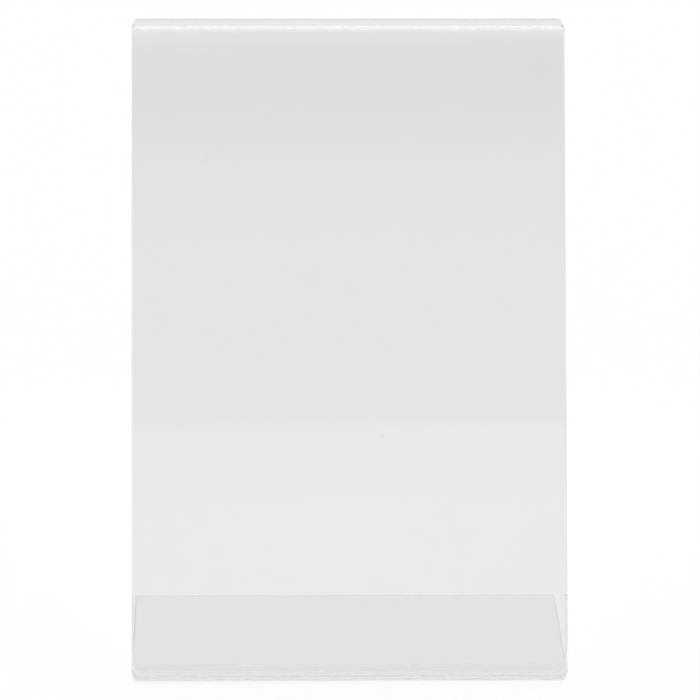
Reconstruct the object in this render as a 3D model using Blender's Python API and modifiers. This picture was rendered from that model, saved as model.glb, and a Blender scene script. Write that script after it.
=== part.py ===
"""Slant-back table sign holder: one clear acrylic sheet, line-bent to shape.

The sheet runs forward along the table as the base, turns up at the front bend, leans back as the front
panel, folds over at the top and comes down behind as the back panel. The two panels make the pocket
that a printed card slides into from either side.

Metres, +Z up. The front faces -Y, and the origin is at the middle of the footprint, on the table.
"""

import math

import bmesh
import bpy
from mathutils import Matrix, Vector

MM = 0.001

# The card that the pocket takes, upright
CARD_WIDTH = 101.6 * MM
CARD_HEIGHT = 152.4 * MM
CARD_SIDE_ALLOWANCE = 0.5 * MM
CARD_HEAD_ALLOWANCE = 0.6 * MM

# The sheet and its bends
SHEET_THICKNESS = 2.0 * MM
POCKET_GAP = 2.0 * MM
FRONT_BEND_INNER_RADIUS = 2.0 * MM
LEAN_FROM_VERTICAL = math.radians(20.0)
BASE_DEPTH = 60.0 * MM
BACK_EDGE_LIFT = 1.0 * MM

# The cut edges are flame-polished to a small round
POLISHED_EDGE_RADIUS = 0.4 * MM

# At both ends of a bend the stretched outer skin draws in and the squeezed inner skin swells out
SKIN_DRAW_IN = 1.0 * MM
SKIN_SWELL = 0.25 * MM
# The heated strip of the front bend reaches this far into the base and into the front panel
HEATED_BASE_STRIP = 4.0 * MM
HEATED_PANEL_STRIP = 5.0 * MM

# Fineness of the rounds
EDGE_SEGMENTS = 3
BEND_STEP = math.radians(9.0)
FEWEST_BEND_STEPS = 4
STRIP_STEPS = 5
SHARP_ANGLE = math.radians(40.0)

SHEET_WIDTH = CARD_WIDTH + 2 * CARD_SIDE_ALLOWANCE
FRONT_BEND_OUTER_RADIUS = FRONT_BEND_INNER_RADIUS + SHEET_THICKNESS
FOLD_INNER_RADIUS = POCKET_GAP / 2
FOLD_OUTER_RADIUS = FOLD_INNER_RADIUS + SHEET_THICKNESS
# The card's height fills the pocket from the floor of the bend to the roof of the fold
PANEL_RUN = CARD_HEIGHT + CARD_HEAD_ALLOWANCE - FRONT_BEND_INNER_RADIUS - FOLD_INNER_RADIUS

# Directions in the side view: back along the base, up the panel, and out of its front face
REARWARD = Vector((0.0, 1.0, 0.0))
UP_PANEL = Vector((0.0, math.sin(LEAN_FROM_VERTICAL), math.cos(LEAN_FROM_VERTICAL)))
FACE_OUT = Vector((0.0, -math.cos(LEAN_FROM_VERTICAL), math.sin(LEAN_FROM_VERTICAL)))
FACE_OUT_ANGLE = math.pi - LEAN_FROM_VERTICAL
TABLE_OUT_ANGLE = 1.5 * math.pi

# The footprint runs from the front bend to the base's rear edge, or to the fold where that overhangs
FOLD_REACH = (
    FRONT_BEND_OUTER_RADIUS
    + (FRONT_BEND_OUTER_RADIUS - FOLD_OUTER_RADIUS) * FACE_OUT.y
    + PANEL_RUN * UP_PANEL.y
    + FOLD_OUTER_RADIUS
)
FRONT_Y = -max(BASE_DEPTH, FOLD_REACH) / 2
BASE_REAR_Y = FRONT_Y + BASE_DEPTH

FRONT_BEND_CENTRE = Vector((0.0, FRONT_Y + FRONT_BEND_OUTER_RADIUS, FRONT_BEND_OUTER_RADIUS))
PANEL_FOOT = FRONT_BEND_CENTRE + FRONT_BEND_OUTER_RADIUS * FACE_OUT
FOLD_CENTRE = PANEL_FOOT + PANEL_RUN * UP_PANEL - FOLD_OUTER_RADIUS * FACE_OUT
BASE_FLAT_FRONT_Y = FRONT_BEND_CENTRE.y + HEATED_BASE_STRIP

# The back panel stops short of the base: its rear lower corner is the lowest
BACK_PANEL_TOP = FOLD_CENTRE - FOLD_OUTER_RADIUS * FACE_OUT
BACK_PANEL_RUN = (BACK_PANEL_TOP.z - SHEET_THICKNESS - BACK_EDGE_LIFT) / UP_PANEL.z

ACRYLIC_COLOUR = (0.80, 0.83, 0.82, 1.0)
ACRYLIC_ROUGHNESS = 0.04
ACRYLIC_IOR = 1.49


def clear_scene():
    for item in list(bpy.data.objects):
        bpy.data.objects.remove(item, do_unlink=True)


def clear_acrylic(name):
    material = bpy.data.materials.new(name)
    material.use_nodes = True
    shader = material.node_tree.nodes["Principled BSDF"]
    shader.inputs["Base Color"].default_value = ACRYLIC_COLOUR
    shader.inputs["Roughness"].default_value = ACRYLIC_ROUGHNESS
    shader.inputs["Metallic"].default_value = 0.0
    shader.inputs["IOR"].default_value = ACRYLIC_IOR
    shader.inputs["Transmission Weight"].default_value = 1.0
    return material


def sheet_object(name, bm, holder):
    """Turns a bmesh into a named stretch of the sheet."""
    mesh = bpy.data.meshes.new(name)
    bm.to_mesh(mesh)
    bm.free()
    mesh.materials.append(clear_acrylic(name + "_acrylic"))
    item = bpy.data.objects.new(name, mesh)
    holder["collection"].objects.link(item)
    item.parent = holder["origin"]
    return item


def flat_run(name, length, centre, tilt, seams, holder):
    """A flat stretch: a plate whose length is local Z, with polished edges everywhere but at its seams.

    seams holds -1, 1 or both: the ends of the plate where the sheet goes on into a bend.
    """
    bm = bmesh.new()
    size = Matrix.Diagonal((SHEET_WIDTH, SHEET_THICKNESS, length, 1.0))
    bmesh.ops.create_cube(bm, size=1.0, matrix=size)
    weight = bm.edges.layers.float.new("bevel_weight_edge")
    for edge in bm.edges:
        end = round(sum(vert.co.z for vert in edge.verts) / length)
        edge[weight] = 0.0 if end in seams else 1.0
    item = sheet_object(name, bm, holder)
    item.location = centre
    item.rotation_euler = (tilt, 0.0, 0.0)
    polish = item.modifiers.new("polished_edges", "BEVEL")
    polish.limit_method = "WEIGHT"
    polish.width = POLISHED_EDGE_RADIUS
    polish.segments = EDGE_SEGMENTS
    polish.use_clamp_overlap = False
    return item


def section_ring(pinch):
    """The sheet's cross-section as points (x, depth), depth running from the inner skin to the outer.

    pinch is 0 on flat sheet and 1 in the middle of a bend.
    """
    radius = POLISHED_EDGE_RADIUS
    half_flat = SHEET_WIDTH / 2 - radius
    corners = (
        (half_flat, radius, -0.5 * math.pi),
        (half_flat, SHEET_THICKNESS - radius, 0.0),
        (-half_flat, SHEET_THICKNESS - radius, 0.5 * math.pi),
        (-half_flat, radius, math.pi),
    )
    ring = []
    for x, depth, start in corners:
        for step in range(EDGE_SEGMENTS + 1):
            angle = start + 0.5 * math.pi * step / EDGE_SEGMENTS
            at_x = x + radius * math.cos(angle)
            at_depth = depth + radius * math.sin(angle)
            outward = at_depth / SHEET_THICKNESS
            spread = pinch * (SKIN_SWELL * (1 - outward) - SKIN_DRAW_IN * outward)
            ring.append((at_x + spread * math.copysign(1.0, x), at_depth))
    return ring


def pinch_along(share):
    """How far the bend has drawn the sheet in, from 0 at the ends of the heated strip to 1 at its middle."""
    return math.sin(math.pi * share) ** 2


def loft_bend(name, centre, inner_points, outs, holder):
    """Lofts the section along a bend, through points on the inner skin with their outward directions."""
    runs = [0.0]
    middles = [point + SHEET_THICKNESS / 2 * out for point, out in zip(inner_points, outs)]
    for before, after in zip(middles, middles[1:]):
        runs.append(runs[-1] + (after - before).length)
    bm = bmesh.new()
    rings = []
    for point, out, run in zip(inner_points, outs, runs):
        ring = section_ring(pinch_along(run / runs[-1]))
        rings.append([bm.verts.new(point + Vector((x, 0, 0)) + depth * out) for x, depth in ring])
    for ring, following in zip(rings, rings[1:]):
        for i in range(len(ring)):
            bm.faces.new((ring[i - 1], ring[i], following[i], following[i - 1]))
    bm.faces.new(rings[0])
    bm.faces.new(rings[-1])
    bmesh.ops.recalc_face_normals(bm, faces=bm.faces)
    item = sheet_object(name, bm, holder)
    item.location = centre
    return item


def arc(start, end, inner_radius):
    """Points on a bend's inner skin about its centre, and the outward directions there."""
    steps = max(FEWEST_BEND_STEPS, round(abs(end - start) / BEND_STEP))
    angles = [start + (end - start) * i / steps for i in range(steps + 1)]
    outs = [Vector((0.0, math.cos(a), math.sin(a))) for a in angles]
    return [inner_radius * out for out in outs], outs


def strip(edge, away, length):
    """Points on the flat strip that was heated with a bend, from its far end to just short of the bend."""
    return [edge + length * (1 - i / STRIP_STEPS) * away for i in range(STRIP_STEPS)]


def front_bend(holder):
    """The bend at the table, with the strips of the base and the panel that were heated with it."""
    points, outs = arc(TABLE_OUT_ANGLE, FACE_OUT_ANGLE, FRONT_BEND_INNER_RADIUS)
    on_base = strip(points[0], REARWARD, HEATED_BASE_STRIP)
    on_panel = strip(points[-1], UP_PANEL, HEATED_PANEL_STRIP)
    points = on_base + points + on_panel[::-1]
    outs = [outs[0]] * STRIP_STEPS + outs + [outs[-1]] * STRIP_STEPS
    return loft_bend("front_bend", FRONT_BEND_CENTRE, points, outs, holder)


def top_fold(holder):
    """The half-turn over the top of the pocket."""
    points, outs = arc(FACE_OUT_ANGLE, FACE_OUT_ANGLE - math.pi, FOLD_INNER_RADIUS)
    return loft_bend("top_fold", FOLD_CENTRE, points, outs, holder)


def base_plate(holder):
    length = BASE_REAR_Y - BASE_FLAT_FRONT_Y
    centre = (0.0, BASE_FLAT_FRONT_Y + length / 2, SHEET_THICKNESS / 2)
    return flat_run("base_plate", length, centre, -0.5 * math.pi, (-1,), holder)


def front_panel(holder):
    length = PANEL_RUN - HEATED_PANEL_STRIP
    middle = PANEL_FOOT + (HEATED_PANEL_STRIP + length / 2) * UP_PANEL
    centre = middle - SHEET_THICKNESS / 2 * FACE_OUT
    return flat_run("front_panel", length, centre, -LEAN_FROM_VERTICAL, (-1, 1), holder)


def back_panel(holder):
    centre = BACK_PANEL_TOP - BACK_PANEL_RUN / 2 * UP_PANEL + SHEET_THICKNESS / 2 * FACE_OUT
    return flat_run("back_panel", BACK_PANEL_RUN, centre, -LEAN_FROM_VERTICAL, (1,), holder)


def main():
    clear_scene()
    collection = bpy.data.collections.new("sign_holder")
    bpy.context.scene.collection.children.link(collection)
    origin = bpy.data.objects.new("sign_holder_origin", None)
    collection.objects.link(origin)
    holder = {"collection": collection, "origin": origin}
    for stretch in (base_plate, front_bend, front_panel, top_fold, back_panel):
        item = stretch(holder)
        item.data.shade_smooth()
        item.data.set_sharp_from_angle(angle=SHARP_ANGLE)


main()
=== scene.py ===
"""Looks of the slant-back sign holder: one bent sheet of clear acrylic on a plain white studio floor.

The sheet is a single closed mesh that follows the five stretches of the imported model. Metres, +Z up, the
front faces -Y.
"""

import math
from collections import namedtuple

import bmesh
import bpy
import numpy as np
from mathutils import Matrix, Vector


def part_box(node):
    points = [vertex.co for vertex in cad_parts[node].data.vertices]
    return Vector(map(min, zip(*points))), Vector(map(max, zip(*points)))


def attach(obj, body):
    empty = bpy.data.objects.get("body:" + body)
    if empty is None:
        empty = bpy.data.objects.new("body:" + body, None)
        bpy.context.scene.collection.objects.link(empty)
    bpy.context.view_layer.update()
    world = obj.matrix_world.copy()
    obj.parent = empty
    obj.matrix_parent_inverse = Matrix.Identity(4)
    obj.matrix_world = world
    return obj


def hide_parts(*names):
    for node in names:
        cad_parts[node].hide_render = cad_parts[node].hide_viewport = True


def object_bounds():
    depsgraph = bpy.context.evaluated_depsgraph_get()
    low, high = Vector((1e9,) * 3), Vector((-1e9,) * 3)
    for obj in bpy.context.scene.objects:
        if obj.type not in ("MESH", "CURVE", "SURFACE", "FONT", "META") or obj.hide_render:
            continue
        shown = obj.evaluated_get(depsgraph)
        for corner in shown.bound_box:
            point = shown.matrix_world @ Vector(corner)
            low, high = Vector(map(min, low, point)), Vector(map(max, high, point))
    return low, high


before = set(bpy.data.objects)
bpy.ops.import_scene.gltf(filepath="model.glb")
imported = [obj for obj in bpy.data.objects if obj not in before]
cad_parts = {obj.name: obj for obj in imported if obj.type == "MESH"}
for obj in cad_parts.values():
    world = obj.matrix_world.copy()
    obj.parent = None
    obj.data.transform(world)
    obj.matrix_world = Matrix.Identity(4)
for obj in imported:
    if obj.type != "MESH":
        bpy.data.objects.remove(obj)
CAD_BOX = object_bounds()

MM = 0.001

# The bends and edges of the sheet, as in the model of the part
LEAN = math.radians(20.0)
FRONT_BEND_INNER_RADIUS = 2.0 * MM
POCKET_GAP = 2.0 * MM
BACK_EDGE_LIFT = 1.0 * MM
POLISHED_EDGE_RADIUS = 0.4 * MM
SKIN_DRAW_IN = 1.0 * MM
SKIN_SWELL = 0.25 * MM
HEATED_BASE_STRIP = 4.0 * MM
HEATED_PANEL_STRIP = 5.0 * MM

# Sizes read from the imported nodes
BASE_LOW, BASE_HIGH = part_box("base_plate")
PANEL_LOW, PANEL_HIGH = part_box("front_panel")
SHEET_WIDTH = BASE_HIGH.x - BASE_LOW.x
SHEET_THICKNESS = BASE_HIGH.z - BASE_LOW.z
FLAT_PANEL_RUN = (PANEL_HIGH.z - PANEL_LOW.z - SHEET_THICKNESS * math.sin(LEAN)) / math.cos(LEAN)
PANEL_RUN = HEATED_PANEL_STRIP + FLAT_PANEL_RUN
FRONT_BEND_OUTER_RADIUS = FRONT_BEND_INNER_RADIUS + SHEET_THICKNESS
FOLD_INNER_RADIUS = POCKET_GAP / 2

# Directions in the side view: along the base, up the panel, and out of its front face
AHEAD = Vector((0.0, -1.0, 0.0))
DOWN = Vector((0.0, 0.0, -1.0))
UP_PANEL = Vector((0.0, math.sin(LEAN), math.cos(LEAN)))
FACE_OUT = Vector((0.0, -math.cos(LEAN), math.sin(LEAN)))
FACE_OUT_ANGLE = math.pi - LEAN
TABLE_OUT_ANGLE = 1.5 * math.pi

# Places in the side view, on the inner skin of the bent sheet, from the base's rear edge to the back's foot
BASE_REAR = Vector((0.0, BASE_HIGH.y, SHEET_THICKNESS))
FRONT_BEND_CENTRE = Vector((0.0, CAD_BOX[0].y + FRONT_BEND_OUTER_RADIUS, FRONT_BEND_OUTER_RADIUS))
BEND_START = FRONT_BEND_CENTRE + FRONT_BEND_INNER_RADIUS * DOWN
BASE_STRIP_START = BEND_START - HEATED_BASE_STRIP * AHEAD
PANEL_FOOT = FRONT_BEND_CENTRE + FRONT_BEND_INNER_RADIUS * FACE_OUT
PANEL_STRIP_END = PANEL_FOOT + HEATED_PANEL_STRIP * UP_PANEL
PANEL_HEAD = PANEL_FOOT + PANEL_RUN * UP_PANEL
FOLD_CENTRE = PANEL_HEAD - FOLD_INNER_RADIUS * FACE_OUT
BACK_PANEL_TOP = FOLD_CENTRE - FOLD_INNER_RADIUS * FACE_OUT
BACK_FOOT_Z = SHEET_THICKNESS + BACK_EDGE_LIFT + SHEET_THICKNESS * math.sin(LEAN)
BACK_PANEL_RUN = (BACK_PANEL_TOP.z - BACK_FOOT_Z) / math.cos(LEAN)
BACK_PANEL_FOOT = BACK_PANEL_TOP - BACK_PANEL_RUN * UP_PANEL

# Fineness of the mesh
EDGE_SEGMENTS = 6
BEND_STEP = math.radians(4.0)
FLAT_STEP = 6.0 * MM
FEWEST_FLAT_STEPS = 2
STRIP_STEPS = 8
MERGE_DISTANCE = 0.001 * MM
FLAT_FACE_WEIGHT = 100

# The acrylic's body, which absorbs light by its density in each metre, least in the colour of its tint
ACRYLIC_IOR = 1.49
BODY_TINT = (0.50, 0.67, 0.64, 1.0)
BODY_DENSITY = 4.0
# Its faces, the painted shade of its bends, and the dust and wear on it
FACE_TINT = (0.911, 0.911, 0.911, 1.0)
# The colour of the bends' painted shade, reached at shade 1
PAINTED_BEND_SHADE = (0.56, 0.56, 0.56, 1.0)
DUST_TINT = (0.78, 0.78, 0.78, 1.0)
DUST_SPACING = 24.0 * MM
DUST_RADIUS = 0.8 * MM
FACE_ROUGHNESS = 0.010
WORN_ROUGHNESS = 0.018
WEAR_SCALE = 60.0
WEAR_DETAIL = 4.0
BEND_ROUGHNESS = 0.25

# The vertex attribute for how much painted shade darkens the acrylic: 0 leaves a face as it is, and 1 gives
# it the whole painted shade of a bend. The haze of a bend is whole at a lower shade.
PAINTED_SHADE_NAME = "painted_bend_shade"
FULL_HAZE_SHADE = 0.36
# Stops of painted shade along a bend: share of the way, painted shade of the inner skin, painted shade of
# the outer skin. The front bend runs from the base to the panel, and the fold from the panel to the back.
# The
# darkening is painted shade: a painted contact shadow on the front bend's outer skin near the table, and
# painted shade in the crease of the fold.
FRONT_BEND_PAINTED_SHADES = (
    (0.0, 0.08, 0.08),
    (0.12, 0.08, 0.58),
    (0.60, 0.08, 0.58),
    (0.68, 0.08, 0.05),
    (0.78, 0.08, 0.12),
    (0.96, 0.08, 0.62),
    (1.0, 0.0, 0.0),
)
FOLD_PAINTED_SHADES = ((0.0, 0.0, 0.0), (0.3, 0.2, 0.2), (0.7, 0.2, 0.2), (1.0, 0.0, 0.0))
# The painted shades of both skins on flat sheet: none
CLEAR = (0.0, 0.0)

# The photograph's camera
CAMERA_PLACE = Vector((-0.02443, -1.18733, 0.42142))
CAMERA_YAW = math.radians(1.193)
CAMERA_PITCH = math.radians(16.328)
CAMERA_ROLL = math.radians(0.252)
CAMERA_LENS = 268.75
CAMERA_REACH = 20.0
SENSOR_WIDTH = 36.0

# The floor, and the share of its white that is its own glow
FLOOR_DROP = 0.15 * MM
FLOOR_SIZE = 8.0
FLOOR_COLOUR = (0.99, 0.99, 0.99, 1.0)
FLOOR_ROUGHNESS = 1.0
FLOOR_GLOW_DIRECT = 0.8
FLOOR_GLOW_THROUGH_SHEET = 0.9

# The wall behind the camera, which the panel mirrors
WALL_DISTANCE = 6.0
WALL_WIDTH = 8.0
WALL_ROLL = math.radians(0.9)
WALL_MARGIN = 0.4
WALL_GLOW = 1.0
# Distance up the outer skin at which the camera sees the wall mirrored, and the wall's colour there
WALL_TONES = (
    (0.0 * MM, (0.90, 0.90, 0.90)),
    (36.0 * MM, (0.92, 0.93, 0.93)),
    (43.0 * MM, (0.79, 0.92, 0.89)),
    (55.0 * MM, (0.75, 0.90, 0.86)),
    (56.2 * MM, (0.74, 0.88, 0.84)),
    (56.35 * MM, (0.55, 0.65, 0.60)),
    (98.0 * MM, (0.55, 0.65, 0.60)),
    (114.0 * MM, (0.42, 0.56, 0.52)),
    (122.0 * MM, (0.26, 0.42, 0.39)),
    (129.0 * MM, (0.15, 0.25, 0.24)),
    (134.0 * MM, (0.11, 0.21, 0.18)),
    (145.5 * MM, (0.11, 0.21, 0.18)),
    (147.6 * MM, (0.40, 0.54, 0.51)),
    (149.5 * MM, (0.58, 0.69, 0.65)),
)
# A soft dark patch on the wall, mirrored at the panel's upper right: its colour, its place, its reach each
# way, and the share of that reach that is darkest
PATCH_TONE = (0.0, 0.09, 0.06, 1.0)
PATCH_RUN = 140.0 * MM
PATCH_ACROSS = 400.0 * MM
PATCH_SIZE = (315.0 * MM, 60.0 * MM)
PATCH_CORE = 0.3

# The other lights
STRIP_LIGHT_ELEVATION = math.radians(47.6)
STRIP_LIGHT_DISTANCE = 1.9
STRIP_LIGHT_SIZE = (1.6, 0.7)
STRIP_LIGHT_GLOW = 5.0
CEILING_HEIGHT = 2.2
CEILING_FRONT = -0.95
CEILING_REAR = 3.8
CEILING_WIDTH = 3.0
CEILING_GLOW = 0.12
WORLD_COLOUR = (1.0, 1.0, 1.0, 1.0)
WORLD_STRENGTH = 1.0
MOST_BOUNCES = 96

# Places of the colour sockets on a mix node, whose names are shared by other kinds of socket
MIX_SHARE, MIX_FIRST, MIX_SECOND = 0, 6, 7
MIX_RESULT = 2

# A cross-section of the sheet: its point on the inner skin, the outward direction there, how far a bend has
# drawn it in, the radius of its corners, and the painted shades of its inner and outer skin
Station = namedtuple("Station", "point out pinch radius shades")


def flat_points(start, end):
    """Evenly spaced points along a flat stretch, both ends included."""
    steps = max(FEWEST_FLAT_STEPS, round((end - start).length / FLAT_STEP))
    return [start.lerp(end, i / steps) for i in range(steps + 1)]


def arc_points(centre, radius, start, end):
    """Points on a bend's inner skin and the outward directions there."""
    steps = round(abs(end - start) / BEND_STEP)
    angles = [start + (end - start) * i / steps for i in range(steps + 1)]
    outs = [Vector((0.0, math.cos(a), math.sin(a))) for a in angles]
    return [centre + radius * out for out in outs], outs


def heated_strip(far_end, bend_end):
    """Points on the flat strip heated with a bend, from its far end to just short of the bend."""
    return [far_end.lerp(bend_end, i / STRIP_STEPS) for i in range(STRIP_STEPS)]


def shades_along(stops, count):
    """Painted shades of both skins at evenly spaced stations of a bend."""
    shares = [i / (count - 1) for i in range(count)]
    stop_shares, inner, outer = zip(*stops)
    return list(zip(np.interp(shares, stop_shares, inner), np.interp(shares, stop_shares, outer)))


def flat_stations(points, out):
    return [Station(point, out, 0.0, POLISHED_EDGE_RADIUS, CLEAR) for point in points]


def bend_stations(points, outs, shades):
    """Stations of a bend. The pinch is 0 at the ends of the heated strip and 1 in its middle."""
    middles = [point + SHEET_THICKNESS / 2 * out for point, out in zip(points, outs)]
    runs = [0.0]
    for before, after in zip(middles, middles[1:]):
        runs.append(runs[-1] + (after - before).length)
    stations = []
    for point, out, run, skin_shades in zip(points, outs, runs, shades):
        pinch = math.sin(math.pi * run / runs[-1]) ** 2
        stations.append(Station(point, out, pinch, POLISHED_EDGE_RADIUS, skin_shades))
    return stations


def end_round(edge, inward, out):
    """Stations of a flame-polished end, from the end face to where the sheet has its full section."""
    stations = []
    for i in range(EDGE_SEGMENTS):
        angle = 0.5 * math.pi * i / EDGE_SEGMENTS
        along = POLISHED_EDGE_RADIUS * (1 - math.cos(angle))
        radius = POLISHED_EDGE_RADIUS * math.sin(angle)
        stations.append(Station(edge + along * inward, out, 0.0, radius, CLEAR))
    return stations


def base_stations():
    """The base, from its rear edge to the strip that was heated with the front bend."""
    flat = flat_points(BASE_REAR + POLISHED_EDGE_RADIUS * AHEAD, BASE_STRIP_START)
    return end_round(BASE_REAR, AHEAD, DOWN) + flat_stations(flat[:-1], DOWN)


def front_bend_stations():
    """The bend at the table, with the strips of the base and the panel that were heated with it.

    Its painted shade fades out over the strip of the base.
    """
    points, outs = arc_points(FRONT_BEND_CENTRE, FRONT_BEND_INNER_RADIUS, TABLE_OUT_ANGLE, FACE_OUT_ANGLE)
    shades = shades_along(FRONT_BEND_PAINTED_SHADES, len(points))
    fading = shades_along(((0.0, *CLEAR), (1.0, *shades[0])), STRIP_STEPS + 1)[:-1]
    on_base = heated_strip(BASE_STRIP_START, BEND_START)
    on_panel = heated_strip(PANEL_STRIP_END, PANEL_FOOT)[::-1]
    outs = [DOWN] * STRIP_STEPS + outs + [FACE_OUT] * STRIP_STEPS
    return bend_stations(on_base + points + on_panel, outs, fading + shades + [CLEAR] * STRIP_STEPS)


def panel_stations():
    return flat_stations(flat_points(PANEL_STRIP_END, PANEL_HEAD)[1:-1], FACE_OUT)


def fold_stations():
    """The half-turn over the top of the pocket."""
    points, outs = arc_points(FOLD_CENTRE, FOLD_INNER_RADIUS, FACE_OUT_ANGLE, FACE_OUT_ANGLE - math.pi)
    return bend_stations(points, outs, shades_along(FOLD_PAINTED_SHADES, len(points)))


def back_stations():
    """The back panel, from the fold to its foot."""
    flat = flat_points(BACK_PANEL_TOP, BACK_PANEL_FOOT + POLISHED_EDGE_RADIUS * UP_PANEL)
    foot = end_round(BACK_PANEL_FOOT, UP_PANEL, -FACE_OUT)
    return flat_stations(flat[1:], -FACE_OUT) + foot[::-1]


def sheet_stations():
    """The whole sheet from the base's rear edge to the back panel's foot."""
    stretches = (base_stations, front_bend_stations, panel_stations, fold_stations, back_stations)
    return [station for stretch in stretches for station in stretch()]


def section_ring(pinch, radius):
    """The section of the sheet as points (x, depth), depth running from the inner skin to the outer."""
    half_flat = SHEET_WIDTH / 2 - POLISHED_EDGE_RADIUS
    low = POLISHED_EDGE_RADIUS
    high = SHEET_THICKNESS - POLISHED_EDGE_RADIUS
    # Each corner's middle, the angle at which its round starts, and whether a face follows it
    corners = (
        (half_flat, low, -0.5 * math.pi, False),
        (half_flat, high, 0.0, True),
        (-half_flat, high, 0.5 * math.pi, False),
        (-half_flat, low, math.pi, True),
    )
    ring = []
    for x, depth, start, face_follows in corners:
        for i in range(EDGE_SEGMENTS + 1):
            angle = start + 0.5 * math.pi * i / EDGE_SEGMENTS
            ring.append((x + radius * math.cos(angle), depth + radius * math.sin(angle)))
        if face_follows:
            ring += face_columns(half_flat, ring[-1])
    return [(x + spread(x, depth, pinch), depth) for x, depth in ring]


def face_columns(half_flat, start):
    """Points across a face of the sheet, from the corner just made towards the other one."""
    steps = max(FEWEST_FLAT_STEPS, round(2 * half_flat / FLAT_STEP))
    side = math.copysign(1.0, start[0])
    return [(side * half_flat * (1 - 2 * i / steps), start[1]) for i in range(1, steps)]


def spread(x, depth, pinch):
    """How far a bend moves a point sideways: its outer skin is drawn in and its inner skin swells."""
    outward = depth / SHEET_THICKNESS
    shift = SKIN_SWELL * (1 - outward) - SKIN_DRAW_IN * outward
    return pinch * shift * x / (SHEET_WIDTH / 2)


def section_verts(bm, shade_layer, station):
    """The vertices of a station's section, with painted shade blended from the inner skin to the outer."""
    inner_shade, outer_shade = station.shades
    verts = []
    for x, depth in section_ring(station.pinch, station.radius):
        vert = bm.verts.new(station.point + Vector((x, 0, 0)) + depth * station.out)
        vert[shade_layer] = inner_shade + (outer_shade - inner_shade) * depth / SHEET_THICKNESS
        verts.append(vert)
    return verts


def sheet_mesh():
    """Lofts the section along the stations and closes both ends."""
    bm = bmesh.new()
    shade_layer = bm.verts.layers.float.new(PAINTED_SHADE_NAME)
    rings = [section_verts(bm, shade_layer, station) for station in sheet_stations()]
    for ring, following in zip(rings, rings[1:]):
        for i in range(len(ring)):
            bm.faces.new((ring[i - 1], ring[i], following[i], following[i - 1]))
    bm.faces.new(rings[0])
    bm.faces.new(rings[-1])
    bmesh.ops.remove_doubles(bm, verts=bm.verts, dist=MERGE_DISTANCE)
    bmesh.ops.recalc_face_normals(bm, faces=bm.faces)
    mesh = bpy.data.meshes.new("acrylic_sheet")
    bm.to_mesh(mesh)
    bm.free()
    mesh.shade_smooth()
    return mesh


def clear_acrylic():
    """Clear sheet with a faint tint in its body, painted shade and haze in the bends, and a little wear and
    dust.
    """
    material = bpy.data.materials.new("clear_acrylic")
    material.use_nodes = True
    nodes = material.node_tree.nodes
    links = material.node_tree.links
    shader = nodes["Principled BSDF"]
    shader.inputs["IOR"].default_value = ACRYLIC_IOR
    shader.inputs["Transmission Weight"].default_value = 1.0

    body = nodes.new("ShaderNodeVolumeAbsorption")
    body.inputs["Color"].default_value = BODY_TINT
    body.inputs["Density"].default_value = BODY_DENSITY
    links.new(body.outputs["Volume"], nodes["Material Output"].inputs["Volume"])

    place = nodes.new("ShaderNodeTexCoord").outputs["Object"]
    shade = nodes.new("ShaderNodeAttribute")
    shade.attribute_name = PAINTED_SHADE_NAME
    # The bends' painted shade darkens the faces' tint
    bent = colour_mix(nodes, links, shade.outputs["Fac"], FACE_TINT, PAINTED_BEND_SHADE)
    dusty = colour_mix(nodes, links, dust(nodes, links, place), bent, DUST_TINT)
    links.new(dusty, shader.inputs["Base Color"])
    links.new(roughness(nodes, links, place, shade.outputs["Fac"]), shader.inputs["Roughness"])
    return material


def colour_mix(nodes, links, share, first, second):
    """Mixes two colours by a share. The first may be a socket."""
    mix = nodes.new("ShaderNodeMix")
    mix.data_type = "RGBA"
    links.new(share, mix.inputs[MIX_SHARE])
    if isinstance(first, tuple):
        mix.inputs[MIX_FIRST].default_value = first
    else:
        links.new(first, mix.inputs[MIX_FIRST])
    mix.inputs[MIX_SECOND].default_value = second
    return mix.outputs[MIX_RESULT]


def dust(nodes, links, place):
    """A mask of sparse round specks: the middles of some of the cells that fill the acrylic."""
    cells = nodes.new("ShaderNodeTexVoronoi")
    cells.inputs["Scale"].default_value = 1.0 / DUST_SPACING
    links.new(place, cells.inputs["Vector"])
    speck = nodes.new("ShaderNodeMapRange")
    speck.interpolation_type = "SMOOTHSTEP"
    links.new(cells.outputs["Distance"], speck.inputs["Value"])
    speck.inputs["From Min"].default_value = DUST_RADIUS / DUST_SPACING
    speck.inputs["From Max"].default_value = 0.0
    return speck.outputs["Result"]


def roughness(nodes, links, place, shade):
    """Faint uneven wear on the faces, and haze in the bends that rises with their painted shade."""
    wear = nodes.new("ShaderNodeTexNoise")
    wear.inputs["Scale"].default_value = WEAR_SCALE
    wear.inputs["Detail"].default_value = WEAR_DETAIL
    links.new(place, wear.inputs["Vector"])
    worn = nodes.new("ShaderNodeMapRange")
    links.new(wear.outputs["Fac"], worn.inputs["Value"])
    worn.inputs["To Min"].default_value = FACE_ROUGHNESS
    worn.inputs["To Max"].default_value = WORN_ROUGHNESS
    haze = nodes.new("ShaderNodeMapRange")
    links.new(shade, haze.inputs["Value"])
    haze.inputs["From Max"].default_value = FULL_HAZE_SHADE
    links.new(worn.outputs["Result"], haze.inputs["To Min"])
    haze.inputs["To Max"].default_value = BEND_ROUGHNESS
    return haze.outputs["Result"]


def make_sheet():
    """The visible sheet. Weighted normals keep its flat faces flat beside their small rounds."""
    sheet = bpy.data.objects.new("acrylic_sheet", sheet_mesh())
    bpy.context.scene.collection.objects.link(sheet)
    sheet.data.materials.append(clear_acrylic())
    even = sheet.modifiers.new("even_normals", "WEIGHTED_NORMAL")
    even.weight = FLAT_FACE_WEIGHT
    even.keep_sharp = True
    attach(sheet, "root")
    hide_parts("base_plate", "front_bend", "front_panel", "top_fold", "back_panel")


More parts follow.
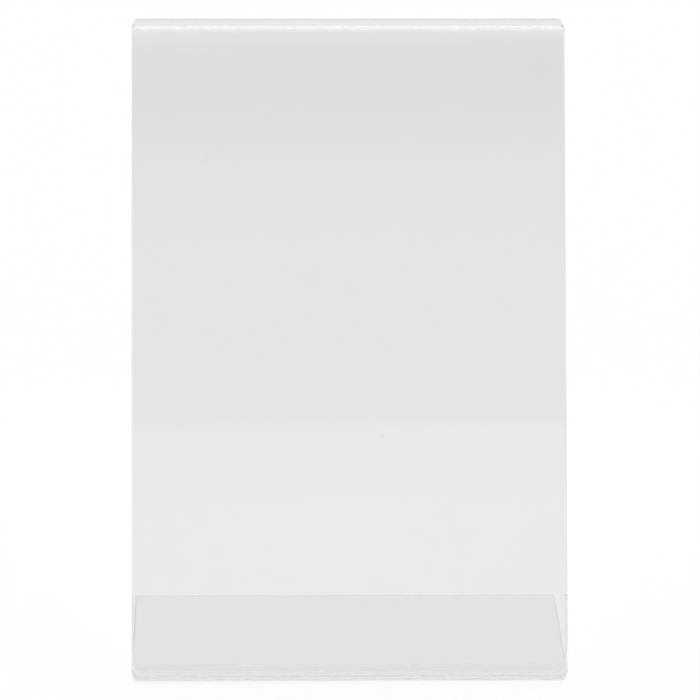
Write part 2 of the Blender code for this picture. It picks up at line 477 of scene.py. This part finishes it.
def make_camera():
    """The photograph's camera: turned to the right by its yaw, down by its pitch, and then rolled."""
    data = bpy.data.cameras.new("camera")
    data.lens = CAMERA_LENS
    data.sensor_width = SENSOR_WIDTH
    data.clip_end = CAMERA_REACH
    camera = bpy.data.objects.new("camera", data)
    bpy.context.scene.collection.objects.link(camera)
    level = math.cos(CAMERA_PITCH)
    forward = Vector((math.sin(CAMERA_YAW) * level, math.cos(CAMERA_YAW) * level, -math.sin(CAMERA_PITCH)))
    right = Vector((math.cos(CAMERA_YAW), -math.sin(CAMERA_YAW), 0.0))
    up = right.cross(forward)
    rolled_right = math.cos(CAMERA_ROLL) * right + math.sin(CAMERA_ROLL) * up
    rolled_up = math.cos(CAMERA_ROLL) * up - math.sin(CAMERA_ROLL) * right
    axes = Matrix((rolled_right, rolled_up, -forward)).transposed()
    camera.matrix_world = Matrix.Translation(CAMERA_PLACE) @ axes.to_4x4()
    bpy.context.scene.camera = camera


def plane(name, width, depth):
    """A flat card of the studio, which is no piece of the part."""
    bm = bmesh.new()
    half_unit = 0.5
    size = Matrix.Diagonal((width, depth, 1.0, 1.0))
    bmesh.ops.create_grid(bm, x_segments=1, y_segments=1, size=half_unit, matrix=size, calc_uvs=True)
    mesh = bpy.data.meshes.new(name)
    bm.to_mesh(mesh)
    bm.free()
    item = bpy.data.objects.new(name, mesh)
    bpy.context.scene.collection.objects.link(item)
    return item


def make_floor():
    """A white floor that keeps the soft shadow under the sheet."""
    floor = plane("floor", FLOOR_SIZE, FLOOR_SIZE)
    floor.location.z = -FLOOR_DROP
    material = bpy.data.materials.new("floor")
    material.use_nodes = True
    nodes = material.node_tree.nodes
    links = material.node_tree.links
    shader = nodes["Principled BSDF"]
    shader.inputs["Base Color"].default_value = FLOOR_COLOUR
    shader.inputs["Roughness"].default_value = FLOOR_ROUGHNESS
    shader.inputs["Specular IOR Level"].default_value = 0.0
    glow = nodes.new("ShaderNodeEmission")
    blend = nodes.new("ShaderNodeMixShader")
    links.new(glow_share(nodes, links), blend.inputs[0])
    links.new(shader.outputs[0], blend.inputs[1])
    links.new(glow.outputs[0], blend.inputs[2])
    links.new(blend.outputs[0], nodes["Material Output"].inputs["Surface"])
    floor.data.materials.append(material)


def glow_share(nodes, links):
    """How much of the floor's white is its own: less where it is seen past the sheet, more through it.

    A ray that has passed through the sheet counts as glossy too, so the last share only adds to that one.
    """
    path = nodes.new("ShaderNodeLightPath")
    shares = (
        ("Is Camera Ray", FLOOR_GLOW_DIRECT),
        ("Is Glossy Ray", FLOOR_GLOW_DIRECT),
        ("Is Transmission Ray", FLOOR_GLOW_THROUGH_SHEET - FLOOR_GLOW_DIRECT),
    )
    total = None
    for kind, share in shares:
        term = nodes.new("ShaderNodeMath")
        term.operation = "MULTIPLY_ADD"
        links.new(path.outputs[kind], term.inputs[0])
        term.inputs[1].default_value = share
        if total is None:
            term.inputs[2].default_value = 0.0
        else:
            links.new(total, term.inputs[2])
        total = term.outputs[0]
    return total


def mirrored_height(run):
    """Height on the wall that the camera sees mirrored at this distance up the panel's middle."""
    spot = PANEL_FOOT + SHEET_THICKNESS * FACE_OUT + run * UP_PANEL
    ray = spot - CAMERA_PLACE
    ray -= 2 * ray.dot(FACE_OUT) * FACE_OUT
    return spot.z + ray.z / ray.y * (-WALL_DISTANCE - spot.y)


def make_wall():
    """The studio wall behind the camera, in the tones that the leaning panel mirrors."""
    heights = [mirrored_height(run) for run, _ in WALL_TONES]
    low, high = heights[0] - WALL_MARGIN, heights[-1] + WALL_MARGIN
    middle = (low + high) / 2
    wall = plane("studio_wall", WALL_WIDTH, high - low)
    wall.location = (0.0, -WALL_DISTANCE, middle)
    wall.rotation_euler = (0.5 * math.pi, WALL_ROLL, math.pi)
    material = glowing("studio_wall", WALL_GLOW)
    nodes = material.node_tree.nodes
    links = material.node_tree.links
    place = nodes.new("ShaderNodeTexCoord")
    stops = [((height - low) / (high - low), tone) for height, (_, tone) in zip(heights, WALL_TONES)]
    tones = tones_up(nodes, links, place.outputs["Generated"], stops)
    centre = Vector((-PATCH_ACROSS, mirrored_height(PATCH_RUN) - middle, 0.0))
    patch = soft_patch(nodes, links, place.outputs["Object"], centre)
    links.new(colour_mix(nodes, links, patch, tones, PATCH_TONE), nodes["Emission"].inputs["Color"])
    wall.data.materials.append(material)
    mirrored_only(wall)


def tones_up(nodes, links, place, stops):
    """Colours up a card, between stops (share of its height, colour)."""
    split = nodes.new("ShaderNodeSeparateXYZ")
    ramp = nodes.new("ShaderNodeValToRGB")
    links.new(place, split.inputs[0])
    links.new(split.outputs["Y"], ramp.inputs["Fac"])
    elements = ramp.color_ramp.elements
    while len(elements) < len(stops):
        elements.new(1.0)
    for element, (share, tone) in zip(elements, stops):
        element.position = share
        element.color = (*tone, 1.0)
    return ramp.outputs["Color"]


def soft_patch(nodes, links, place, centre):
    """A mask of the patch on the wall: 1 in its core, and fading to 0 at its rim."""
    shrink = Vector((1 / PATCH_SIZE[0], 1 / PATCH_SIZE[1], 0.0))
    offset = nodes.new("ShaderNodeVectorMath")
    offset.operation = "MULTIPLY_ADD"
    links.new(place, offset.inputs[0])
    offset.inputs[1].default_value = shrink
    offset.inputs[2].default_value = -centre * shrink
    distance = nodes.new("ShaderNodeVectorMath")
    distance.operation = "LENGTH"
    links.new(offset.outputs["Vector"], distance.inputs[0])
    mask = nodes.new("ShaderNodeMapRange")
    mask.interpolation_type = "SMOOTHSTEP"
    links.new(distance.outputs["Value"], mask.inputs["Value"])
    mask.inputs["From Min"].default_value = 1.0
    mask.inputs["From Max"].default_value = PATCH_CORE
    return mask.outputs["Result"]


def make_strip_light():
    """A wide soft light over the front, which the gloss of the fold picks up."""
    light = plane("strip_light", *STRIP_LIGHT_SIZE)
    toward = Vector((0.0, -math.cos(STRIP_LIGHT_ELEVATION), math.sin(STRIP_LIGHT_ELEVATION)))
    light.location = STRIP_LIGHT_DISTANCE * toward
    light.rotation_euler = toward.to_track_quat("Z", "Y").to_euler()
    light.data.materials.append(glowing("strip_light", STRIP_LIGHT_GLOW))
    mirrored_only(light)


def make_ceiling():
    """The dimmer ceiling, which the top of the fold mirrors."""
    ceiling = plane("ceiling", CEILING_WIDTH, CEILING_REAR - CEILING_FRONT)
    ceiling.location = (0.0, (CEILING_FRONT + CEILING_REAR) / 2, CEILING_HEIGHT)
    ceiling.data.materials.append(glowing("ceiling", CEILING_GLOW))
    mirrored_only(ceiling)
    ceiling.visible_transmission = False


def mirrored_only(card):
    """Keeps a card out of the picture and off the floor's light, so that only the sheet shows it."""
    card.visible_camera = False
    card.visible_diffuse = False
    card.visible_shadow = False


def glowing(name, strength):
    """A material that only glows, white until its colour is set."""
    material = bpy.data.materials.new(name)
    material.use_nodes = True
    nodes = material.node_tree.nodes
    nodes.clear()
    glow = nodes.new("ShaderNodeEmission")
    glow.inputs["Strength"].default_value = strength
    output = nodes.new("ShaderNodeOutputMaterial")
    material.node_tree.links.new(glow.outputs[0], output.inputs["Surface"])
    return material


def make_world():
    world = bpy.data.worlds.new("studio")
    world.use_nodes = True
    background = world.node_tree.nodes["Background"]
    background.inputs["Color"].default_value = WORLD_COLOUR
    background.inputs["Strength"].default_value = WORLD_STRENGTH
    bpy.context.scene.world = world


def set_light_paths():
    """Lets light run its full way through the bent sheet, and through it to the floor."""
    paths = bpy.context.scene.cycles
    paths.max_bounces = MOST_BOUNCES
    paths.glossy_bounces = MOST_BOUNCES
    paths.transmission_bounces = MOST_BOUNCES
    paths.blur_glossy = 0.0


make_sheet()
make_camera()
make_floor()
make_wall()
make_strip_light()
make_ceiling()
make_world()
set_light_paths()
bpy.context.scene.view_settings.view_transform = "Standard"
